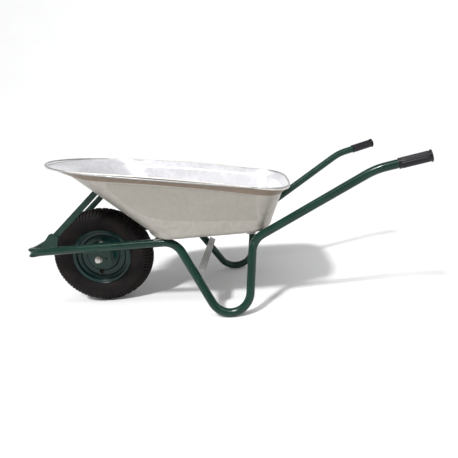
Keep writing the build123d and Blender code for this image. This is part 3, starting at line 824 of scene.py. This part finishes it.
def crimped(angle, crimp):
    """Creased section at this angle from the bend's outside, as (outwards, up) in tube radii."""
    outwards, up = cos(angle), sin(angle)
    dent = exp(-((angle if angle < pi else tau - angle) / CRIMP_DENT_WIDTH) ** 2)
    if outwards > 0:
        outwards = outwards ** (1 - CRIMP_SQUARENESS * crimp) * (1 + CRIMP_BULGE * crimp)
        outwards *= 1 - CRIMP_DENT * crimp * dent
    else:
        outwards *= 1 - CRIMP_TUCK * crimp
    return outwards, up * (1 + CRIMP_SPREAD * crimp)


def make_frame_tube(finish):
    """One tube from grip to grip, creased where it is bent sharply round the nose."""
    right = [on_side(p, 1) for p in (RAIL_NOSE, RAIL_HUMP, FOOT, KNEE, WRIST, TUBE_END)]
    nose = Vector((right[0].x, 0, right[0].z))
    line = rounded_route([nose, *right], BENDS)
    corner = (right[0] - nose).length - NOSE_BEND * CRIMP_SEAT
    travelled = 0.0
    heading = (line[1] - line[0]).normalized()
    out = Vector((-1, 0, 0))
    rings = []
    for index, point in enumerate(line):
        following = line[min(index + 1, len(line) - 1)] - line[max(index - 1, 0)]
        following.normalize()
        out = heading.rotation_difference(following) @ out
        heading = following
        up = out.cross(heading) * -1
        if index:
            travelled += (point - line[index - 1]).length
        crimp = exp(-(((travelled - corner) / CRIMP_REACH) ** 2))
        if crimp <= CRIMP_LEAST:
            crimp = 0.0
        ring = []
        for step in range(TUBE_AROUND):
            outwards, rise = crimped(tau * step / TUBE_AROUND, crimp)
            ring.append(point + (out * outwards + up * rise) * TUBE_RADIUS)
        rings.append(ring)
    mirrored = [[Vector((p.x, -p.y, p.z)) for p in ring] for ring in rings[:0:-1]]
    points = [p for ring in mirrored + rings for p in ring]
    faces = grid_faces(2 * len(rings) - 1, TUBE_AROUND)
    faces.append(tuple(range(TUBE_AROUND))[::-1])
    faces.append(tuple(range(len(points) - TUBE_AROUND, len(points))))
    name = "bent_frame_tube"
    return finish_mesh(name, mesh_from(name, points, faces), [finish], crease=55)


# ---------------------------------------------------------------- welds

def seam_weld(start, end):
    """Line of a straight weld."""
    steps = max(WELD_LEAST_STEPS, int((end - start).length / WELD_STEP))
    return [start.lerp(end, step / steps) for step in range(steps + 1)]


def rail_between(side, low, high):
    """Points on this side's rail at two X values."""
    nose, hump = on_side(RAIL_NOSE, side), on_side(RAIL_HUMP, side)
    slope = (hump - nose) / (hump.x - nose.x)
    return [nose + slope * (x - nose.x) for x in (low, high)]


def make_welds(frame_look, finish):
    """Weld beads where the axle brackets and the stay gussets meet the rails, as one piece."""
    lines = []
    for name, side in SIDES.items():
        low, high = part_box(f"axle_bracket_{name}")
        ends = rail_between(side, low.x + BRACKET_SEAM_INSET, high.x - BRACKET_SEAM_INSET)
        for off in (-BRACKET_SEAM_OFF, BRACKET_SEAM_OFF):
            drop = Vector((0, off, -sqrt(TUBE_RADIUS**2 - off**2) - BRACKET_SEAM_DROP))
            lines.append(seam_weld(ends[0] + drop, ends[1] + drop))
        low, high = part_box(f"stay_gusset_{name}")
        ends = rail_between(side, low.x + GUSSET_SEAM_INSET, high.x - GUSSET_SEAM_INSET)
        for face in (low.y, high.y) if side < 0 else (high.y, low.y):
            seam = []
            for end in ends:
                off = max(-TUBE_RADIUS, min(TUBE_RADIUS, face - end.y))
                lift = sqrt(max(0.0, TUBE_RADIUS**2 - off**2)) + GUSSET_SEAM_LIFT
                seam.append(Vector((end.x, face, end.z + lift)))
            lines.append(seam_weld(*seam))
    points, faces = [], []
    for line in lines:
        waves = round(len(line) / WELD_RIPPLE_STEPS)
        more, skin = swept_ring(
            line, frame_look.weld_radius, WELD_AROUND, ripple=WELD_RIPPLE, waves=waves, closed=False
        )
        faces += [tuple(len(points) + index for index in face) for face in skin]
        points += more
    return finish_mesh("frame_welds", mesh_from("frame_welds", points, faces), [finish], crease=60)


# ---------------------------------------------------------------- studio

def make_floor(studio):
    """Wide pale floor that sweeps up far away on every side."""
    profile = [(STUDIO_DISC, 0.0), (STUDIO_FLAT, 0.0)]
    for step in range(1, STUDIO_SWEEP_STEPS + 1):
        turn = STUDIO_SLOPE * step / STUDIO_SWEEP_STEPS
        profile.append((STUDIO_FLAT + STUDIO_SWEEP * sin(turn), STUDIO_SWEEP * (1 - cos(turn))))
    out, up = profile[-1]
    profile.append((out + STUDIO_RUN * cos(STUDIO_SLOPE), up + STUDIO_RUN * sin(STUDIO_SLOPE)))
    angles = [tau * step / STUDIO_AROUND for step in range(STUDIO_AROUND)]
    points = [(r * cos(angle), r * sin(angle), z) for r, z in profile for angle in angles]
    disc = tuple(range(STUDIO_AROUND))
    upwards = [face[::-1] for face in grid_faces(len(profile), STUDIO_AROUND)]
    mesh = bpy.data.meshes.new("studio_floor")
    mesh.from_pydata(points, [], [disc, *upwards])
    tone = tuple(studio.floor)
    finish = new_finish("studio_floor", tone, 0.9, specular=0.1)
    set_colour(finish, blend_colour(finish, cloud(finish, 1.3), tone, darker(tone, 0.985)))
    mesh.materials.append(finish)
    mesh.shade_smooth()
    floor = bpy.data.objects.new("studio_floor", mesh)
    bpy.context.scene.collection.objects.link(floor)
    return floor


def hang_lamp(name, light, towards, spot=(0, 0, 0)):
    """Put a light in the scene, shining down from the given direction."""
    lamp = bpy.data.objects.new(name, light)
    lamp.location = spot
    lamp.rotation_euler = towards.to_track_quat("Z", "Y").to_euler()
    bpy.context.scene.collection.objects.link(lamp)


def make_lights(studio):
    """A soft key from above the nose, a long lamp overhead and an even sky."""
    key = bpy.data.lights.new("key", "SUN")
    key.energy = studio.sun_strength
    key.angle = KEY_SPREAD
    hang_lamp("key", key, KEY_TOWARDS)
    strip = bpy.data.lights.new("strip", "AREA")
    strip.shape = "RECTANGLE"
    strip.size, strip.size_y = STRIP_SIZE
    strip.energy = studio.strip_power
    hang_lamp("strip", strip, STRIP_TOWARDS, STRIP_PLACE)
    world = bpy.data.worlds.new("studio")
    world.use_nodes = True
    sky = world.node_tree.nodes["Background"]
    sky.inputs["Color"].default_value = SKY_COLOUR
    sky.inputs["Strength"].default_value = studio.sky_strength
    bpy.context.scene.world = world


def make_camera():
    """Camera at the near side, a little above the barrow."""
    lens = bpy.data.cameras.new("camera")
    lens.sensor_width = CAMERA_SENSOR
    lens.lens = CAMERA_LENS
    lens.shift_x, lens.shift_y = CAMERA_SHIFT
    lens.clip_end = CAMERA_REACH
    camera = bpy.data.objects.new("camera", lens)
    turn = Matrix.Rotation(CAMERA_TURN, 4, "Z")
    tilt = Matrix.Rotation(pi / 2 - CAMERA_DOWN, 4, "X")
    roll = Matrix.Rotation(CAMERA_ROLL, 4, "Z")
    camera.matrix_world = Matrix.Translation(CAMERA_PLACE) @ turn @ tilt @ roll
    bpy.context.scene.collection.objects.link(camera)
    bpy.context.scene.camera = camera


# ---------------------------------------------------------------- operators

class BARROW_OT_frame(Operator):
    """Paint the tubular frame and lay its welds"""

    bl_idname = "barrow.frame"
    bl_label = "Frame"

    def execute(self, context):
        look = context.scene.barrow_frame
        paint = paint_finish("frame_paint", tuple(look.paint))
        dress(paint, *both("stay", "stay_gusset", "axle_bracket"))
        tube = make_frame_tube(paint)
        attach(tube, "frame")
        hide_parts("nose_bar", *both("frame_tube"))
        welds = make_welds(look, paint)
        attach(welds, "frame")
        bare = zinc_finish("angle_zinc", tuple(look.bare_steel), 0.5, 0.55)
        dress(bare, "leg_brace", "tray_strap_front", "tray_strap_rear")
        return {"FINISHED"}


class BARROW_OT_tray(Operator):
    """Press the sheet tray with its band, side panels and rolled edge"""

    bl_idname = "barrow.tray"
    bl_label = "Tray"

    def execute(self, context):
        tray = context.scene.barrow_tray
        # Painted light on the inner face, and painted shade with dust on the outer face, of one zinc sheet.
        inside = zinc_finish(
            "tray_zinc_inside_painted_light", tuple(tray.inside), 0.36, 0.55, waves=0.0014, stain=(0.7, 0.68, 0.67)
        )
        outside = zinc_finish("tray_zinc_outside_dust_and_shade", tuple(tray.outside), 0.46, 0.4, panel=tuple(tray.panel))
        band = zinc_finish("tray_zinc_band", tuple(tray.band), 0.5, 0.35)
        rolled = zinc_finish("tray_zinc_edge", tuple(tray.edge), 0.42, 0.3, waves=0.0002)
        sheet = make_tray(tray, inside, outside, band)
        edge = make_rolled_edge(tray, rolled)
        for piece, name in ((sheet, "tray"), (edge, "tray_rolled_rim")):
            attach(piece, "frame")
            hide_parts(name)
        dress(steel_finish("rim_wire_steel", (0.4, 0.4, 0.4), 0.4), "tray_rim_wire")
        return {"FINISHED"}


class BARROW_OT_fastenings(Operator):
    """Finish the axle, nuts, bolts and washers"""

    bl_idname = "barrow.fastenings"
    bl_label = "Fastenings"

    def execute(self, context):
        zinc = steel_finish("fastener_zinc", (0.58, 0.57, 0.53), 0.22)
        dress(zinc, "axle", "axle_nut", "bearing_spacer", *both("axle_sleeve"))
        dress(steel_finish("washer_zinc", (0.30, 0.29, 0.27), 0.42), "axle_washers")
        dress(zinc, "tray_bolts", "tray_nuts", "tray_washers")
        dress(zinc, "stay_bolts", "stay_nuts", "stay_washers")
        dress(
            steel_finish("bearing_steel", (0.6, 0.6, 0.61), 0.18),
            *both("bearing_outer_ring", "bearing_inner_ring", "bearing_balls"),
        )
        return {"FINISHED"}


class BARROW_OT_wheel(Operator):
    """Mould the treaded tyre and paint the wheel"""

    bl_idname = "barrow.wheel"
    bl_label = "Wheel"

    def execute(self, context):
        wheel = context.scene.barrow_wheel
        paint = paint_finish("wheel_paint", tuple(wheel.paint), 0.2)
        dress(paint, "rim", "hub_tube", *both("wheel_disc"))
        tyre = make_tyre(wheel, rubber_finish("tyre_rubber", tuple(wheel.tyre), 0.62))
        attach(tyre, "wheel")
        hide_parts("tyre")
        dress(rubber_finish("inner_tube_rubber", (0.03, 0.03, 0.03), 0.5), "inner_tube")
        dress(steel_finish("valve_brass", (0.62, 0.47, 0.22), 0.3), "valve_stem")
        dress(rubber_finish("cap_plastic", (0.02, 0.02, 0.02), 0.4), "valve_cap")
        return {"FINISHED"}


class BARROW_OT_grips(Operator):
    """Mould the two ribbed grips"""

    bl_idname = "barrow.grips"
    bl_label = "Grips"

    def execute(self, context):
        grip = context.scene.barrow_grip
        finish = rubber_finish(
            "grip_rubber", tuple(grip.rubber), 0.3, dust=(0.01, 0.01, 0.013), dust_share=0.3, specular=0.32
        )
        for name, side in SIDES.items():
            piece = make_grip(f"ribbed_grip_{name}", side, grip, finish)
            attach(piece, "frame")
            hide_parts(f"grip_{name}")
        return {"FINISHED"}


class BARROW_OT_studio(Operator):
    """Set the floor, the lights and the camera"""

    bl_idname = "barrow.studio"
    bl_label = "Studio"

    def execute(self, context):
        studio = context.scene.barrow_studio
        context.scene.view_settings.view_transform = "Standard"
        make_floor(studio)
        make_lights(studio)
        make_camera()
        return {"FINISHED"}


OPERATORS = [
    BARROW_OT_frame, BARROW_OT_tray, BARROW_OT_fastenings, BARROW_OT_wheel, BARROW_OT_grips,
    BARROW_OT_studio,
]
SETTINGS = {
    "barrow_tray": TraySettings,
    "barrow_wheel": WheelSettings,
    "barrow_frame": FrameSettings,
    "barrow_grip": GripSettings,
    "barrow_studio": StudioSettings,
}


class BARROW_PT_dresser(Panel):
    """Lists the barrow's settings and the pieces to build"""

    bl_label = "Wheelbarrow"
    bl_idname = "BARROW_PT_dresser"
    bl_space_type = "VIEW_3D"
    bl_region_type = "UI"
    bl_category = "Wheelbarrow"

    def draw(self, context):
        for key, group in SETTINGS.items():
            box = self.layout.box()
            for name in group.__annotations__:
                box.prop(getattr(context.scene, key), name)
        for operator in OPERATORS:
            self.layout.operator(operator.bl_idname)


def register():
    for group in SETTINGS.values():
        bpy.utils.register_class(group)
    for key, group in SETTINGS.items():
        setattr(bpy.types.Scene, key, PointerProperty(type=group))
    for operator in OPERATORS:
        bpy.utils.register_class(operator)
    bpy.utils.register_class(BARROW_PT_dresser)


def unregister():
    bpy.utils.unregister_class(BARROW_PT_dresser)
    for operator in reversed(OPERATORS):
        bpy.utils.unregister_class(operator)
    for key, group in reversed(SETTINGS.items()):
        delattr(bpy.types.Scene, key)
        bpy.utils.unregister_class(group)


def main():
    register()
    bpy.ops.barrow.frame()
    bpy.ops.barrow.tray()
    bpy.ops.barrow.fastenings()
    bpy.ops.barrow.wheel()
    bpy.ops.barrow.grips()
    bpy.ops.barrow.studio()


if __name__ == "__main__":
    main()
